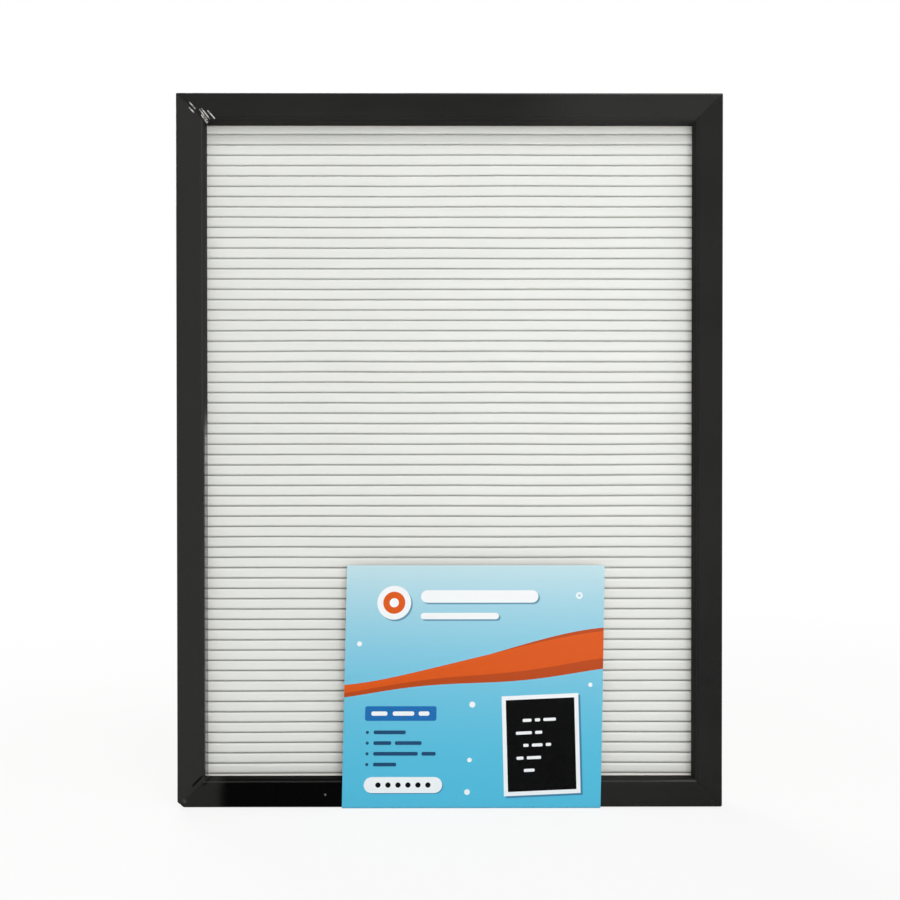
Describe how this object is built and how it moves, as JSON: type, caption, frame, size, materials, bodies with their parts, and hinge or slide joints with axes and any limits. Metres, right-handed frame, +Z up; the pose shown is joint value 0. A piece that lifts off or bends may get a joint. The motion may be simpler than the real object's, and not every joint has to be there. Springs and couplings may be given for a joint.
{
  "type": "letter board",
  "caption": "Upright letter board: a white plastic panel of level slotted ribs in a mitred black frame, with a folded label card round the bottom rail.",
  "frame": {"origin": "centre of the overall box at its lowest face, which is the underside of the label card's fold", "axes": "+Z up the board's height, +X to the right as seen from the front, and the front faces -Y"},
  "size_m": [0.306, 0.021, 0.4007],
  "materials": {
    "foil_wrapped_frame": "black foil over moulded fibreboard, satin to glossy",
    "white_plastic": "extruded white plastic, soft gloss",
    "hardboard": "bare brown hardboard, matte",
    "plated_steel": "zinc-plated steel, satin",
    "printed_card": "coated card, printed in blue and orange, soft gloss"
  },
  "bodies": {
    "root": {"rail_top": "foil_wrapped_frame", "rail_bottom": "foil_wrapped_frame", "rail_left": "foil_wrapped_frame", "rail_right": "foil_wrapped_frame", "letter_panel": "white_plastic", "backing_board": "hardboard", "label_card": "printed_card", "sawtooth_hanger": "plated_steel", "hanger_nail_left": "plated_steel", "hanger_nail_right": "plated_steel", "vnail_top_left": "plated_steel", "vnail_top_right": "plated_steel", "vnail_bottom_left": "plated_steel", "vnail_bottom_right": "plated_steel", "point_top_1": "plated_steel", "point_top_2": "plated_steel", "point_bottom_1": "plated_steel", "point_bottom_2": "plated_steel", "point_left_1": "plated_steel", "point_left_2": "plated_steel", "point_left_3": "plated_steel", "point_right_1": "plated_steel", "point_right_2": "plated_steel", "point_right_3": "plated_steel"}
  },
  "joints": []
}
